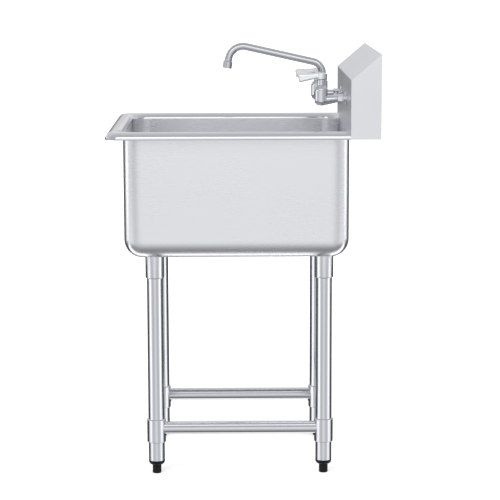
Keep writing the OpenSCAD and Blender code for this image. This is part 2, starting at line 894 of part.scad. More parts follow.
module spout_nut() {
    color("#d8dade") difference() {
        translate([0, spout_y, spout_nut_z]) round_rod(spout_nut_r, spout_nut_h, edge, edge);
        translate([0, spout_y, spout_nut_z - over])
            cylinder(r = neck_r + fit, h = spout_roof_z - spout_nut_z + over);
        translate([0, spout_y, spout_nut_z]) cylinder(r = spout_d / 2 + seat, h = spout_nut_h + over);
    }
}

module aerator() {
    color("#d8dade") at_mouth() difference() {
        translate([0, 0, -aerator_h]) {
            cylinder(r1 = aerator_neck_r, r2 = aerator_top_r, h = aerator_slope_h);
            translate([0, 0, aerator_slope_h])
                cylinder(r1 = aerator_top_r, r2 = aerator_r, h = aerator_h - aerator_slope_h);
        }
        translate([0, 0, -aerator_h - over])
            cylinder(r = spout_d / 2 + fit, h = aerator_h - edge + over);
        cylinder(r = spout_d / 2 - aerator_rim_w, h = 2 * over, center = true);
    }
}

module aerator_insert() {
    bore_r = spout_d / 2 - spout_wall;
    color("#4a4c50") at_mouth() difference() {
        union() {
            translate([0, 0, -aerator_lip - aerator_insert_h])
                cylinder(r = bore_r - fit, h = aerator_insert_h + 2 * fit);
            translate([0, 0, fit - aerator_lip])
                cylinder(r = spout_d / 2 - fit, h = aerator_lip - edge - 2 * fit);
        }
        for (i = [0:aerator_holes]) rotate(i * 360 / aerator_holes)
            translate([i < aerator_holes ? bore_r * aerator_ring_share : 0, 0, -aerator_h])
                cylinder(r = aerator_hole_r, h = aerator_h);
    }
}

// Drain

module drain_body() {
    color("silver") translate([0, bowl_cy, 0]) difference() {
        union() {
            translate([0, 0, drain_seat_z])
                round_rod(drain_flange_r, drain_flange_t, 0, drain_flange_t / 2);
            translate([0, 0, drain_cup_z]) cylinder(r = drain_cup_r, h = drain_cup_h);
            translate([0, 0, drain_cup_z - drain_tail_h]) cylinder(r = drain_tail_r, h = drain_tail_h);
        }
        translate([0, 0, drain_cup_z + drain_wall])
            cylinder(r = drain_cup_r - drain_wall, h = drain_cup_h + over);
        translate([0, 0, drain_cup_z - drain_tail_h - over])
            cylinder(r = drain_tail_r - drain_tail_wall, h = drain_tail_h + 2 * over);
    }
}

gasket_z = drain_seat_z - sheet_t - gasket_t;

module drain_gasket() {
    color("#202020") translate([0, bowl_cy, gasket_z]) difference() {
        cylinder(r = drain_cup_r + gasket_w, h = gasket_t);
        translate([0, 0, -over]) cylinder(r = drain_cup_r + fit, h = gasket_t + 2 * over);
    }
}

module drain_locknut() {
    r = drain_cup_r + drain_locknut_w;
    color("silver") translate([0, bowl_cy, gasket_z - drain_locknut_t]) difference() {
        union() {
            cylinder(r = r, h = drain_locknut_t);
            for (i = [0:drain_lugs - 1]) rotate(i * 360 / drain_lugs)
                translate([0, -lug_w / 2, 0]) cube([r + lug_proud, lug_w, drain_locknut_t]);
        }
        translate([0, 0, -over]) cylinder(r = drain_cup_r + fit, h = drain_locknut_t + 2 * over);
    }
}

stopper_z = drain_cup_z + drain_wall + seat;
basket_z = stopper_z + stopper_t + fit;
basket_r = drain_cup_r - drain_wall - basket_gap;
basket_floor_r = basket_r * basket_floor_r_share;

module basket_strainer() {
    color("silver") translate([0, bowl_cy, basket_z]) difference() {
        cylinder(r1 = basket_floor_r, r2 = basket_r, h = basket_h);
        translate([0, 0, basket_t])
            cylinder(r1 = basket_floor_r - basket_t, r2 = basket_r - basket_t, h = basket_h - basket_t);
        translate([0, 0, -over]) cylinder(r = post_r + fit, h = basket_h);
        for (i = [1:strainer_holes]) rotate(i * 360 / strainer_holes)
            translate([strainer_ring_share * basket_floor_r, 0, -over])
                cylinder(r = strainer_hole_r, h = 2 * over);
    }
}

module basket_stopper() {
    color("#202020") translate([0, bowl_cy, stopper_z]) difference() {
        cylinder(r = basket_floor_r * stopper_r_share, h = stopper_t);
        translate([0, 0, -over]) cylinder(r = post_r + fit, h = stopper_t + 2 * over);
    }
}

module basket_knob() {
    post_top_z = basket_z + basket_t + post_h;
    color("silver") translate([0, bowl_cy, 0]) {
        translate([0, 0, stopper_z]) cylinder(r = post_r, h = post_top_z - stopper_z);
        translate([0, 0, post_top_z]) round_rod(knob_r, knob_h, edge, knob_h - edge);
    }
}

bowl();
rim_front();
for (side = sides) rim_side(side);
splash_panel();
for (side = sides) splash_cap(side);
for (place = legs) {
    leg_socket(place);
    at_leg(place) leg();
    at_leg(place) brace_socket(place);
    at_leg(place) foot_insert();
    at_leg(place) foot_stud();
    at_leg(place) foot();
}
for (side = sides) side_brace(side);
socket_screws();
faucet_body();
coupling_nuts();
inlet_shanks();
wall_flanges();
shank_locknuts();
inlet_washers();
bonnets();
cartridges();
for (side = sides) {
    valve_stem(side);
    lever(side);
    lever_screw(side);
}
spout();
spout_nut();
spout_seals();
aerator();
aerator_insert();
drain_body();
drain_gasket();
drain_locknut();
basket_strainer();
basket_stopper();
basket_knob();
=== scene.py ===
import json
import math

import bmesh
import bpy
from mathutils import Matrix, Vector


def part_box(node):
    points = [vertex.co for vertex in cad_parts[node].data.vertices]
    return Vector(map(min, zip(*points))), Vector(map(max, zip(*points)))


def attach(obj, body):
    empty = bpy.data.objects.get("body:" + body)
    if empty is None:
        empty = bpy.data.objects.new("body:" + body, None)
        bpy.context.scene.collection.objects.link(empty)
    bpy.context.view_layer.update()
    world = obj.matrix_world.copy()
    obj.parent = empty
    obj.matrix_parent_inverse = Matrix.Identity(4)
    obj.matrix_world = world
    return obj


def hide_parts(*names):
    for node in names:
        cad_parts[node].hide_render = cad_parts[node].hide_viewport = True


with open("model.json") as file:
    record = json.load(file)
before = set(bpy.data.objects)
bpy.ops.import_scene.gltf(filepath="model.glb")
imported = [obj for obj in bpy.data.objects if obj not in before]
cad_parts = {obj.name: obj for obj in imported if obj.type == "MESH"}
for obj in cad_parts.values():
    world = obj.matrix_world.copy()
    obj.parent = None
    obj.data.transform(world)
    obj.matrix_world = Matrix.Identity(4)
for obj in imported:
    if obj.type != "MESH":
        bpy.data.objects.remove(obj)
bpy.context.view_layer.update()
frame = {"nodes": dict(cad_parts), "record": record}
mm = 0.001
upwards = Vector((0, 0, 1))
toWall = Vector((0, 1, 0))
samePoint = 2e-6  # points that lie nearer than this, in metres, are one
crease = 35  # an edge is sharp from this many degrees up
slotOf = {part["node"]: part["material_slot"] for part in frame["record"]["subparts"]}


# An sRGB hex colour as linear light
def linear(hexColour):
    channels = [int(hexColour[i:i + 2], 16) / 255 for i in (1, 3, 5)]
    return [c / 12.92 if c <= 0.04045 else ((c + 0.055) / 1.055) ** 2.4 for c in channels] + [1.0]


# Materials

# Sizes in mm. A noise stays mostly between its low and high. Marks change over where a face's normal
# rises from the sloping to the level value. A quarter turn stretches reflections across the marks
pattern = {"noiseLow": 0.3, "noiseHigh": 0.7, "markDetail": 2.0, "cloud": 110, "cloudDetail": 3.0,
           "reliefHeight": 0.1, "slopingRise": 0.6, "levelRise": 0.8, "acrossTurn": 0.25,
           "skin": 2.5, "skinRelief": 0.2, "skinSpread": 0.06}


def newMaterial(name):
    material = bpy.data.materials.new(name)
    material.use_nodes = True
    return material, material.node_tree, material.node_tree.nodes["Principled BSDF"]


def addNode(tree, kind, inputs=None, **settings):
    node = tree.nodes.new(kind)
    for key, value in settings.items():
        setattr(node, key, value)
    for key, value in (inputs or {}).items():
        if isinstance(value, bpy.types.NodeSocket):
            tree.links.new(value, node.inputs[key])
        else:
            node.inputs[key].default_value = value
    return node


# The X, Y and Z of a place or a direction
def partsOf(tree, output):
    place = addNode(tree, "ShaderNodeTexCoord")
    return addNode(tree, "ShaderNodeSeparateXYZ", {0: place.outputs[output]}).outputs


# A pattern whose marks are as long, wide and deep as given in millimetres
def markPattern(tree, marks, detail=pattern["markDetail"]):
    place = addNode(tree, "ShaderNodeTexCoord")
    scale = [1 / (size * mm) for size in marks]
    mapping = addNode(tree, "ShaderNodeMapping", {"Vector": place.outputs["Object"], "Scale": scale})
    noise = addNode(tree, "ShaderNodeTexNoise", {"Vector": mapping.outputs["Vector"], "Scale": 1.0,
                                                 "Detail": detail})
    return noise.outputs["Fac"]


# The marks of the upright faces, and on level faces those of the level ones
def mixByFacing(tree, uprightLines, levelLines):
    rise = addNode(tree, "ShaderNodeMath", {0: partsOf(tree, "Normal")["Z"]}, operation="ABSOLUTE")
    share = addNode(tree, "ShaderNodeMapRange", {"Value": rise.outputs[0],
                                                 "From Min": pattern["slopingRise"],
                                                 "From Max": pattern["levelRise"]})
    mixed = addNode(tree, "ShaderNodeMix", {"Factor": share.outputs["Result"], "A": uprightLines,
                                            "B": levelLines}, data_type="FLOAT")
    return mixed.outputs["Result"]


# One noise spreads the roughness to both sides of a middle value, and another stands out as relief
def roughen(tree, shader, noise, middle, spread, lines, relief):
    spreadOut = addNode(tree, "ShaderNodeMapRange", {"Value": noise, "From Min": pattern["noiseLow"],
                                                     "From Max": pattern["noiseHigh"],
                                                     "To Min": middle - spread, "To Max": middle + spread})
    tree.links.new(spreadOut.outputs["Result"], shader.inputs["Roughness"])
    if relief:
        bump = addNode(tree, "ShaderNodeBump", {"Height": lines, "Strength": relief,
                                                "Distance": pattern["reliefHeight"] * mm})
        tree.links.new(bump.outputs["Normal"], shader.inputs["Normal"])


# Fine marks and broad clouds vary the roughness, and the marks may stand out and stretch reflections
def metal(name, colour, rough, marks, spread, relief=0.0, brushed=0.0, levelMarks=None):
    material, tree, shader = newMaterial(name)
    lines = markPattern(tree, marks)
    if levelMarks:
        lines = mixByFacing(tree, lines, markPattern(tree, levelMarks))
    clouds = markPattern(tree, [pattern["cloud"]] * 3, pattern["cloudDetail"])
    shader.inputs["Metallic"].default_value = 1.0
    shader.inputs["Base Color"].default_value = linear(colour)
    both = addNode(tree, "ShaderNodeMath", {0: lines, 1: clouds}, operation="ADD")
    half = addNode(tree, "ShaderNodeMath", {0: both.outputs[0], 1: 0.5}, operation="MULTIPLY")
    roughen(tree, shader, half.outputs[0], rough, spread, lines, relief)
    if brushed:
        along = addNode(tree, "ShaderNodeTangent", direction_type="RADIAL", axis="Z")
        tree.links.new(along.outputs["Tangent"], shader.inputs["Tangent"])
        shader.inputs["Anisotropic"].default_value = brushed
        shader.inputs["Anisotropic Rotation"].default_value = pattern["acrossTurn"]
    return material


# A dull skin with a fine grain
def grained(name, colour, rough, shine=0.5):
    material, tree, shader = newMaterial(name)
    shader.inputs["Base Color"].default_value = linear(colour)
    shader.inputs["Specular IOR Level"].default_value = shine
    skin = markPattern(tree, [pattern["skin"]] * 3)
    roughen(tree, shader, skin, rough, pattern["skinSpread"], skin, pattern["skinRelief"])
    return material


# The brush marks are drawn coarser than the real 0.1 mm ones, so that they show at this distance
finishes = {
    # Stainless sheet, belt-brushed level round the bowl, so that reflections stretch up and down. Its
    # colour is lighter than the splashback's: painted light that stands in for the light going on from
    # wall to wall inside the bowl
    "bowl": metal("Brushed stainless sheet", "#ebecf0", 0.27, (90, 90, 1.2), spread=0.01, relief=0.014,
                  brushed=0.75, levelMarks=(90, 1.2, 90)),
    # The same sheet, brushed across the splashback, with its marks level too
    "splash": metal("Brushed stainless splashback", "#dddfe5", 0.33, (70, 70, 1.6), spread=0.03,
                    relief=0.08),
    # Brushed more lightly, so that it reads as one flat tone
    "cap": metal("Brushed stainless end cap", "#dfe0e4", 0.22, (70, 70, 1.6), spread=0.02, relief=0.05),
    # Buffed after forming, so that it mirrors softly
    "rim": metal("Buffed stainless rim", "#dbdde2", 0.1, (60, 60, 2.0), spread=0.03, relief=0.03),
    # Welded tube, polished along its length, with clear dark and bright stripes
    "tube": metal("Polished stainless tube", "#d8dae0", 0.13, (2, 2, 120), spread=0.03, relief=0.03),
    # Nickel and chrome over buffed brass, close to a mirror
    "chrome": metal("Chrome plate", "#d4d6db", 0.05, (30, 30, 30), spread=0.02),
    # The spout's tube is drawn rather than cast. It and the aerator take a darker copy of the chrome:
    # painted shade that stands in for the darker reflections the spout shows
    "chromeTube": metal("Chrome plated tube", "#c9cbd1", 0.07, (30, 30, 30), spread=0.02),
    # The levers are die cast and satin plated, which makes them pale and soft
    "satinChrome": metal("Satin chrome on zinc die casting", "#f4f5f8", 0.4, (1.5, 1.5, 1.5), spread=0.03,
                         relief=0.05),
    # Turned and polished small parts, bright with fine marks
    "polished": metal("Polished stainless steel", "#d2d4d8", 0.12, (3, 3, 50), spread=0.03, relief=0.1),
    # Steel blackened in a bath, a dull black
    "blackOxide": grained("Black oxide steel", "#141416", 0.4),
    # A thin pale plate that shows the turning marks under it
    "zinc": metal("Zinc plated steel", "#b4b6b8", 0.3, (20, 20, 1), spread=0.04, relief=0.3),
    # Bare from the lathe, yellow with fine rings
    "brass": metal("Machined brass", "#c2a464", 0.25, (17, 17, 1), spread=0.04, relief=0.2),
    # Moulded in a grained tool, a bluish black with little shine
    "nylon": grained("Black moulded nylon", "#0b0e15", 0.42, shine=0.25),
    # Moulded acetal, waxy and even
    "acetal": grained("White acetal", "#e4e1d6", 0.4),
    "greyAcetal": grained("Grey acetal", "#5c5e62", 0.45),
    # Moulded rubber, the dullest of the blacks
    "rubber": grained("Black rubber", "#17181a", 0.6),
}
slotFinish = {
    "stainless_steel": "tube", "chrome_plated_brass": "chrome", "polished_steel": "polished",
    "black_oxide_steel": "blackOxide", "zinc_plated_steel": "zinc", "bare_brass": "brass",
    "black_plastic": "nylon", "white_plastic": "acetal", "grey_plastic": "greyAcetal",
    "black_rubber": "rubber",
}
# Nodes whose finish differs from that of their material's slot
nodeFinish = {
    "bowl": "bowl", "rim_front": "rim", "rim_left": "rim", "rim_right": "rim", "splash_panel": "splash",
    "splash_cap_left": "cap", "splash_cap_right": "cap", "spout": "chromeTube", "aerator": "chromeTube",
}


def finishOf(node):
    return finishes[nodeFinish.get(node) or slotFinish[slotOf[node]]]


for node, obj in frame["nodes"].items():
    if not obj.material_slots:
        obj.data.materials.append(finishOf(node))
    for slot in obj.material_slots:
        slot.material = finishOf(node)
print("materials set")


# Pieces

# A piece stands for its node, or is added to it where it doesn't hide it
def addPiece(name, bm, body, node, finish, sharpFrom=crease, hides=True):
    data = bpy.data.meshes.new(name)
    bm.to_mesh(data)
    bm.free()
    data.polygons.foreach_set("use_smooth", [True] * len(data.polygons))
    data.set_sharp_from_angle(angle=math.radians(sharpFrom))
    data.materials.append(finish)
    obj = bpy.data.objects.new(name, data)
    bpy.context.scene.collection.objects.link(obj)
    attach(obj, body)
    if hides:
        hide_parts(node)
    return obj


# A node's own shape with its loose triangles joined
def joinedCopy(node):
    bm = bmesh.new()
    bm.from_mesh(frame["nodes"][node].data)
    bmesh.ops.remove_doubles(bm, verts=bm.verts, dist=samePoint)
    return bm


# Folded sheet and turned or milled brass have their sharp edges broken, to a width in mm. Faces that
# meet at less than the flat angle, in degrees, are one before that
brokenEdges = {
    "widths": {"splash_panel": 0.9, "splash_cap_left": 0.5, "splash_cap_right": 0.5, "coupling_nuts": 0.7,
               "wall_flanges": 0.4, "bonnets": 0.4},
    "flatAngle": 0.5, "segments": 2,
}


def softenedCopy(node, width):
    bm = joinedCopy(node)
    flatAngle = math.radians(brokenEdges["flatAngle"])
    bmesh.ops.dissolve_limit(bm, angle_limit=flatAngle, verts=bm.verts, edges=bm.edges)
    sharp = [e for e in bm.edges
             if len(e.link_faces) == 2 and e.calc_face_angle(0) > math.radians(crease)]
    bmesh.ops.bevel(bm, geom=sharp, offset=width * mm, offset_type="OFFSET",
                    segments=brokenEdges["segments"], profile=0.5, affect="EDGES", material=-1,
                    clamp_overlap=True)
    return bm


for node, width in brokenEdges["widths"].items():
    piece = addPiece(node + ".formed", softenedCopy(node, width), "sink", node, finishOf(node))
    flat = piece.modifiers.new("flat faces", "WEIGHTED_NORMAL")
    flat.mode = "FACE_AREA"
    flat.weight = 100  # the most: the large faces shade as flat
    flat.keep_sharp = True
print("edges broken")


# One skin over joined shapes, whose inner corners are filled as a casting's are
def castSkin(piece, voxel, rounds):
    merge = piece.modifiers.new("merge", "REMESH")
    merge.mode = "VOXEL"
    merge.voxel_size = voxel * mm
    merge.use_smooth_shade = True
    blend = piece.modifiers.new("blend", "SMOOTH")
    blend.iterations = rounds


# In mm: a round hub, and a paddle that gets narrower and taller from its root out to its slanted tip
lever = {
    "hub": {"r": 13, "height": 16.5, "edge": 1, "round": 3},
    "root": {"out": 2, "width": 22, "height": 12, "drop": 0.5, "slant": 0},
    "tip": {"out": 60, "width": 12, "height": 22.5, "drop": 3, "slant": 3.5},
    "round": 4.6, "roundSteps": 6, "voxel": 0.55, "rounds": 14,
}


# A turned shape: points are radius and height in mm about an upright axis, closed where the radius is 0
def turned(points, steps=48):
    bm = bmesh.new()
    verts = [bm.verts.new((r * mm, 0, z * mm)) for r, z in points]
    outline = [bm.edges.new(pair) for pair in zip(verts, verts[1:])]
    bmesh.ops.spin(bm, geom=verts + outline, cent=(0, 0, 0), axis=(0, 0, 1), angle=2 * math.pi,
                   steps=steps, use_merge=True)
    bmesh.ops.remove_doubles(bm, verts=bm.verts, dist=samePoint)
    bmesh.ops.recalc_face_normals(bm, faces=bm.faces)
    return bm


# Points of an arc from one angle to another, in degrees
def arcPoints(centre, r, start, end, count=6):
    angles = [math.radians(start + (end - start) * i / count) for i in range(count + 1)]
    return [(centre[0] + r * math.cos(a), centre[1] + r * math.sin(a)) for a in angles]


def joinInto(bm, other):
    data = bpy.data.meshes.new("join")
    other.to_mesh(data)
    other.free()
    bm.from_mesh(data)
    bpy.data.meshes.remove(data)


def hubMesh(top):
    hub = lever["hub"]
    low = top - hub["height"]
    foot = [(0, low), (hub["r"] - hub["edge"], low), (hub["r"], low + hub["edge"])]
    shoulder = arcPoints((hub["r"] - hub["round"], top - hub["round"]), hub["round"], 0, 90)
    return turned(foot + shoulder + [(0, top)])


def leverMesh(node):
    low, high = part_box(node)
    top = high.z / mm
    bm = bmesh.new()
    bmesh.ops.create_cube(bm, size=1)
    for vert in bm.verts:
        end = lever["tip"] if vert.co.y < 0 else lever["root"]
        isLow = vert.co.z < 0
        x = math.copysign(end["width"] / 2, vert.co.x)
        y = -(end["out"] - (end["slant"] if isLow else 0))
        z = top - end["drop"] - (end["height"] if isLow else 0)
        vert.co = (x * mm, y * mm, z * mm)
    bmesh.ops.bevel(bm, geom=bm.edges[:], offset=lever["round"] * mm, offset_type="OFFSET",
                    segments=lever["roundSteps"], profile=0.5, affect="EDGES", material=-1,
                    clamp_overlap=True)
    joinInto(bm, hubMesh(top))
    hubPlace = ((low.x + high.x) / 2, high.y - lever["hub"]["r"] * mm, 0)
    bmesh.ops.translate(bm, vec=hubPlace, verts=bm.verts)
    return bm


for side, body in (("left", "hot_lever"), ("right", "cold_lever")):
    node = "lever_" + side
    piece = addPiece("lever." + side, leverMesh(node), body, node, finishes["satinChrome"])
    castSkin(piece, lever["voxel"], lever["rounds"])
print("levers cast")


casting = {"voxel": 0.95, "rounds": 26}
piece = addPiece("faucet.casting", joinedCopy("faucet_body"), "sink", "faucet_body", finishes["chrome"])
castSkin(piece, casting["voxel"], casting["rounds"])
print("faucet cast")


# Bent from one tube, in mm and degrees: the upright, the rising run and the outlet over the bowl
tube = {"r": 9.5, "wall": 1.2, "uprightY": 209.4, "low": 985, "cornerZ": 1042, "rise": 12.7,
        "rearBend": 31.4, "reach": 238.2, "frontBend": 38.5, "lean": 8.6, "drop": 65.3, "lip": 3,
        "steps": 20, "around": 48}


def newEnd(geom):
    verts = {v for v in geom if isinstance(v, bmesh.types.BMVert)}
    return [e for e in geom if isinstance(e, bmesh.types.BMEdge) and all(v in verts for v in e.verts)]


# The way on at a heading, which is 0 for upwards and turns over to the front
def wayOf(heading):
    return Vector((0, -math.sin(math.radians(heading)), math.cos(math.radians(heading))))


def runOn(bm, end, heading, length):
    geom = bmesh.ops.extrude_edge_only(bm, edges=end)["geom"]
    verts = [v for v in geom if isinstance(v, bmesh.types.BMVert)]
    bmesh.ops.translate(bm, vec=wayOf(heading) * length * mm, verts=verts)
    return newEnd(geom)


def bendOn(bm, end, heading, r, turn):
    verts = {v for e in end for v in e.verts}
    middle = sum((v.co for v in verts), Vector()) / len(verts)
    centre = middle + wayOf(heading + 90) * r * mm
    geom = bmesh.ops.spin(bm, geom=list(verts) + end, cent=centre, axis=(1, 0, 0),
                          angle=math.radians(turn), steps=tube["steps"])["geom_last"]
    return newEnd(geom)


def spoutMesh():
    rearTurn = 90 - tube["rise"]
    frontTurn = 90 + tube["rise"] - tube["lean"]
    rearRun = tube["rearBend"] * math.tan(math.radians(rearTurn / 2))
    frontRun = tube["frontBend"] * math.tan(math.radians(frontTurn / 2))
    risingRun = tube["reach"] / math.cos(math.radians(tube["rise"])) - rearRun - frontRun
    bm = bmesh.new()
    ring = bmesh.ops.create_circle(bm, segments=tube["around"], radius=tube["r"] * mm)["verts"]
    bmesh.ops.translate(bm, vec=(0, tube["uprightY"] * mm, tube["low"] * mm), verts=ring)
    end = runOn(bm, bm.edges[:], 0, tube["cornerZ"] - rearRun - tube["low"])
    end = bendOn(bm, end, 0, tube["rearBend"], rearTurn)
    end = runOn(bm, end, rearTurn, risingRun)
    end = bendOn(bm, end, rearTurn, tube["frontBend"], frontTurn)
    runOn(bm, end, rearTurn + frontTurn, tube["drop"] - frontRun - tube["lip"])
    bmesh.ops.recalc_face_normals(bm, faces=bm.faces)
    return bm


piece = addPiece("spout.tube", spoutMesh(), "spout_arm", "spout", finishOf("spout"))
tubeWall = piece.modifiers.new("wall", "SOLIDIFY")
tubeWall.thickness = tube["wall"] * mm
tubeWall.offset = -1  # inwards
print("spout bent")


# Rolled threads in mm: on the feet's studs, the supply shanks and the drain. Neighbouring turns share
# the points that lie within the seam, and their edges are sharp from the crease, in degrees
threads = {
    "stud": {"pitch": 1.5, "depth": 0.9, "steps": 32},
    "shank": {"pitch": 1.8, "depth": 0.9, "steps": 32, "r": 10.75, "start": 280, "end": 329, "z": 958.5},
    "drain": {"pitch": 2.2, "depth": 1.0, "steps": 64, "r": 24.2, "length": 16},
    "crease": 20, "seam": 0.01,
}


# The middle of the underside of a node's box
def underside(node):
    low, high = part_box(node)
    return Vector(((low.x + high.x) / 2, (low.y + high.y) / 2, low.z))


# Along an axis: one V a pitch wide, spun on so that each turn joins the next
def threadMesh(start, axis, thread, r, length):
    bm = bmesh.new()
    pitch = thread["pitch"]
    steps = thread["steps"]
    root = r - thread["depth"]
    out = axis.orthogonal().normalized()
    verts = [bm.verts.new(start + out * (far * mm) + axis * (along * mm))
             for far, along in ((root, 0), (r, pitch / 2), (root, pitch))]
    outline = [bm.edges.new(pair) for pair in zip(verts, verts[1:])]
    turns = int(length / pitch) - 1
    bmesh.ops.spin(bm, geom=verts + outline, cent=start, axis=axis, dvec=axis * (pitch * mm / steps),
                   angle=2 * math.pi * turns, steps=steps * turns)
    bmesh.ops.remove_doubles(bm, verts=bm.verts, dist=threads["seam"] * mm)
    bmesh.ops.recalc_face_normals(bm, faces=bm.faces)
    return bm


for node in [n for n in frame["nodes"] if n.startswith("foot_stud_")]:
    low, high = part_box(node)
    body = node.replace("foot_stud_", "") + "_foot"
    rolled = threadMesh(underside(node), upwards, threads["stud"], (high.x - low.x) / 2 / mm,
                        (high.z - low.z) / mm)
    addPiece(node + ".thread", rolled, body, node, finishOf(node), threads["crease"])
shank = threads["shank"]
for side in ("left", "right"):
    start = Vector((underside("lever_" + side).x, shank["start"] * mm, shank["z"] * mm))
    rolled = threadMesh(start, toWall, shank, shank["r"], shank["end"] - shank["start"])
    addPiece("shank.thread." + side, rolled, "sink", "inlet_shanks", finishOf("inlet_shanks"),
             threads["crease"], hides=False)
drain = threads["drain"]
rolled = threadMesh(underside("drain_body"), upwards, drain, drain["r"], drain["length"])
addPiece("drain.thread", rolled, "sink", "drain_body", finishOf("drain_body"), threads["crease"],
         hides=False)
print("threads rolled")


# Stage: what the metal reflects, the floor, the world, the lights and the camera, in metres

def stageMesh(name, bm, material):
    mesh = bpy.data.meshes.new(name)
    bm.to_mesh(mesh)
    bm.free()
    mesh.materials.append(material)
    obj = bpy.data.objects.new(name, mesh)
    bpy.context.scene.collection.objects.link(obj)
    return obj


# A flat card, turned about Y and moved to its place
def cardMesh(width, depth, place, turn=0.0):
    bm = bmesh.new()
    bmesh.ops.create_grid(bm, x_segments=1, y_segments=1, size=0.5)
    bmesh.ops.scale(bm, vec=(width, depth, 1), verts=bm.verts)
    bmesh.ops.rotate(bm, cent=(0, 0, 0), matrix=Matrix.Rotation(turn, 3, "Y"), verts=bm.verts)
    bmesh.ops.translate(bm, vec=place, verts=bm.verts)
    return bm


rampTop = 2.0  # the level that a ramp's full white stands for


# The level at a value, along stops of value and level
def levelAt(tree, value, stops):
    low, high = stops[0][0], stops[-1][0]
    share = addNode(tree, "ShaderNodeMapRange", {"Value": value, "From Min": low, "From Max": high})
    ramp = addNode(tree, "ShaderNodeValToRGB", {"Fac": share.outputs["Result"]})
    elements = ramp.color_ramp.elements
    for i, (where, level) in enumerate(stops):
        at = (where - low) / (high - low)
        element = elements[i] if i < 2 else elements.new(at)
        element.position = at
        element.color = [level / rampTop] * 3 + [1.0]
    scaled = addNode(tree, "ShaderNodeMath", {0: ramp.outputs["Color"], 1: rampTop}, operation="MULTIPLY")
    return scaled.outputs[0]


# The turn from the camera's side, in degrees, of a direction's first and second part
def turnOf(tree, along, across, signed=False):
    turn = addNode(tree, "ShaderNodeMath", {0: across, 1: along}, operation="ARCTAN2").outputs[0]
    if not signed:
        turn = addNode(tree, "ShaderNodeMath", {0: turn}, operation="ABSOLUTE").outputs[0]
    return addNode(tree, "ShaderNodeMath", {0: turn}, operation="DEGREES").outputs[0]


# A material that only glows, and gives no light of its own to the rest
def glowMaterial(name):
    material = bpy.data.materials.new(name)
    material.use_nodes = True
    material.cycles.emission_sampling = "NONE"
    material.node_tree.nodes.clear()
    return material, material.node_tree


def setGlow(tree, level):
    light = addNode(tree, "ShaderNodeEmission", {"Strength": level})
    addNode(tree, "ShaderNodeOutputMaterial", {"Surface": light.outputs[0]})


# A card that only the metal's reflections see
def reflectedCard(name, bm, material):
    card = stageMesh(name, bm, material)
    card.visible_camera = False
    card.visible_diffuse = False
    card.visible_shadow = False
    card.visible_transmission = False


# A low wall round the scene, with its levels by the turn from the camera's side in degrees
wall = {
    "r": 3.2, "low": 0.1, "high": 0.8, "steps": 96,
    "levels": [(0, 1.03), (24, 0.97), (36, 0.8), (48, 0.7), (57, 0.65), (66, 0.71), (76, 0.77),
               (84, 0.92), (91, 1.4), (97, 1.85), (106, 1.85), (112, 0.87), (118, 0.3), (126, 0.08),
               (160, 0.06), (168, 0.3), (180, 0.4)],
}


def studioWalls():
    material, tree = glowMaterial("Studio walls")
    place = partsOf(tree, "Object")
    setGlow(tree, levelAt(tree, turnOf(tree, place["X"], place["Y"]), wall["levels"]))
    bm = bmesh.new()
    ring = bmesh.ops.create_circle(bm, segments=wall["steps"], radius=wall["r"])["verts"]
    bmesh.ops.translate(bm, vec=(0, 0, wall["low"]), verts=ring)
    raised = bmesh.ops.extrude_edge_only(bm, edges=bm.edges[:])["geom"]
    bmesh.ops.translate(bm, vec=(0, 0, wall["high"] - wall["low"]),
                        verts=[v for v in raised if isinstance(v, bmesh.types.BMVert)])
    reflectedCard("studio_walls", bm, material)


# A soft box beside the sink draws the lines along the rim and the spout. Its levels go by height
softBox = {"x": 1.2, "wide": 1.9, "low": 1.05, "high": 1.85,
           "levels": [(1.05, 1.0), (1.4, 1.2), (1.62, 1.95), (1.85, 1.95)]}


def studioSoftBox():
    material, tree = glowMaterial("Studio soft box")
    setGlow(tree, levelAt(tree, partsOf(tree, "Object")["Z"], softBox["levels"]))
    middle = (softBox["x"], 0, (softBox["low"] + softBox["high"]) / 2)
    bm = cardMesh(softBox["high"] - softBox["low"], softBox["wide"], middle, math.pi / 2)
    reflectedCard("studio_soft_box", bm, material)


# A card low in the bowl stands for the light that goes on from wall to wall
bowlCard = {"size": 0.4, "z": 0.74, "level": 0.52}


def studioBowlCard():
    material, tree = glowMaterial("Studio bowl card")
    setGlow(tree, bowlCard["level"])
    bm = cardMesh(bowlCard["size"], bowlCard["size"], (0, 0, bowlCard["z"]))
    reflectedCard("studio_bowl_card", bm, material)


# A matt floor that glows to the camera, more so from near to far, until it is white
floor = {"size": 120, "colour": "#e7e7e7", "near": 0.4, "nearGlow": 0.48, "far": 3.0, "farGlow": 1.0}


def studioFloor():
    material, tree, shader = newMaterial("Studio floor")
    shader.inputs["Base Color"].default_value = linear(floor["colour"])
    shader.inputs["Roughness"].default_value = 1.0
    shader.inputs["Specular IOR Level"].default_value = 0.0
    rays = addNode(tree, "ShaderNodeLightPath")
    place = addNode(tree, "ShaderNodeTexCoord")
    away = addNode(tree, "ShaderNodeVectorMath", {0: place.outputs["Object"]}, operation="LENGTH")
    lift = addNode(tree, "ShaderNodeMapRange", {"Value": away.outputs["Value"], "From Min": floor["near"],
                                                "From Max": floor["far"], "To Min": floor["nearGlow"],
                                                "To Max": floor["farGlow"]})
    shown = addNode(tree, "ShaderNodeMath", {0: rays.outputs["Is Camera Ray"], 1: lift.outputs["Result"]},
                    operation="MULTIPLY")
    shader.inputs["Emission Color"].default_value = (1, 1, 1, 1)
    tree.links.new(shown.outputs[0], shader.inputs["Emission Strength"])
    sheet = stageMesh("floor", cardMesh(floor["size"], floor["size"], (0, 0, 0)), material)
    sheet.visible_glossy = False


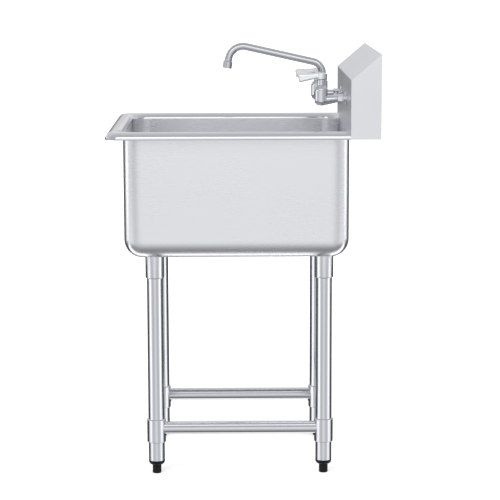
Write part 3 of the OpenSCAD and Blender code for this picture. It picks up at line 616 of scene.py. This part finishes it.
# The world's levels for the metal, by the turn from the camera's side in degrees: round the scene, and
# over its top to the far side, or under it where the turn is negative. A share for each rise of the
# direction says how far the second ones hold: fully, but for the directions at and just below level
studio = {
    "plainLevel": 0.6,
    "aroundLevels": [(0, 0.98), (10, 0.92), (22, 0.64), (34, 0.62), (46, 0.76), (56, 1.1), (64, 1.6),
                     (80, 1.6), (92, 0.7), (104, 0.1), (155, 0.06), (163, 0.5), (171, 0.35), (180, 0.2)],
    "overLevels": [(-180, 0.06), (-137, 0.06), (-126, 0.5), (-117, 1.95), (-106, 1.9), (-99, 0.85),
                   (-92, 0.35), (-80, 0.2), (-68, 0.22), (-56, 0.34), (-45, 0.47), (-34, 0.66),
                   (-20, 0.86), (-9, 0.98), (0, 0.75), (8, 0.5), (21, 0.55), (50, 0.56), (60, 0.6),
                   (72, 0.62), (85, 0.58), (98, 0.65), (112, 0.75), (148, 0.75), (160, 0.85),
                   (173, 0.92), (178, 0.35), (180, 0.15)],
    "overShares": [(-1, 1), (-0.42, 1), (-0.22, 0), (0, 0), (0.08, 1), (1, 1)],
}


# White to the camera and through clear pieces, the studio to the metal, and plain to the rest
def studioWorld():
    world = bpy.data.worlds.new("studio")
    bpy.context.scene.world = world
    world.use_nodes = True
    tree = world.node_tree
    tree.nodes.clear()
    rays = addNode(tree, "ShaderNodeLightPath")
    way = partsOf(tree, "Generated")
    around = levelAt(tree, turnOf(tree, way["X"], way["Y"]), studio["aroundLevels"])
    over = levelAt(tree, turnOf(tree, way["X"], way["Z"], signed=True), studio["overLevels"])
    share = levelAt(tree, way["Z"], studio["overShares"])
    mirrored = addNode(tree, "ShaderNodeMix", {"Factor": share, "A": around, "B": over}, data_type="FLOAT")
    lit = addNode(tree, "ShaderNodeMix", {"Factor": rays.outputs["Is Glossy Ray"],
                                          "A": studio["plainLevel"], "B": mirrored.outputs["Result"]},
                  data_type="FLOAT")
    isSeen = addNode(tree, "ShaderNodeMath", {0: rays.outputs["Is Camera Ray"],
                                              1: rays.outputs["Is Transmission Ray"]}, operation="MAXIMUM")
    level = addNode(tree, "ShaderNodeMix", {"Factor": isSeen.outputs[0], "A": lit.outputs["Result"],
                                            "B": 1.0}, data_type="FLOAT")
    sky = addNode(tree, "ShaderNodeBackground", {"Color": (1, 1, 1, 1),
                                                 "Strength": level.outputs["Result"]})
    addNode(tree, "ShaderNodeOutputWorld", {"Surface": sky.outputs[0]})


studioWalls()
studioSoftBox()
studioBowlCard()
studioFloor()
studioWorld()

# Soft lights in metres and watts, which the camera and the reflections don't see
lights = {
    "key": {"place": (2.2, -1.2, 3.2), "aim": (0, 0, 0.7), "size": 2.0, "power": 60},
    "fill": {"place": (1.8, 2.4, 2.0), "aim": (0, 0, 0.6), "size": 2.0, "power": 25},
}
for name, light in lights.items():
    data = bpy.data.lights.new(name, "AREA")
    data.size = light["size"]
    data.energy = light["power"]
    obj = bpy.data.objects.new(name, data)
    obj.location = light["place"]
    aim = Vector(light["aim"]) - Vector(light["place"])
    obj.rotation_euler = aim.to_track_quat("-Z", "Y").to_euler()
    obj.visible_camera = False
    obj.visible_glossy = False
    bpy.context.scene.collection.objects.link(obj)

# The camera at the photograph's place, in metres, with its turns in radians and its sensor in mm
view = {"place": (4.8073, -0.0208, 1.3194), "yaw": 0.0084, "pitch": 0.1583, "roll": -0.0029,
        "focalPixels": 1843.5, "imagePixels": 500, "sensor": 36, "clipEnd": 100}


def viewMatrix():
    level = math.cos(view["pitch"])
    forward = Vector((-level * math.cos(view["yaw"]), level * math.sin(view["yaw"]),
                      -math.sin(view["pitch"])))
    right = forward.cross(upwards).normalized()
    up = right.cross(forward)
    roll = Matrix.Rotation(view["roll"], 3, -forward)
    turn = Matrix((roll @ right, roll @ up, -forward)).transposed()
    return Matrix.Translation(view["place"]) @ turn.to_4x4()


camera = bpy.data.cameras.new("camera")
camera.sensor_width = view["sensor"]
camera.lens = view["focalPixels"] * view["sensor"] / view["imagePixels"]
camera.clip_end = view["clipEnd"]
cameraObject = bpy.data.objects.new("camera", camera)
cameraObject.matrix_world = viewMatrix()
bpy.context.scene.collection.objects.link(cameraObject)
bpy.context.scene.camera = cameraObject
bpy.context.scene.view_settings.view_transform = "Standard"
print("stage set")
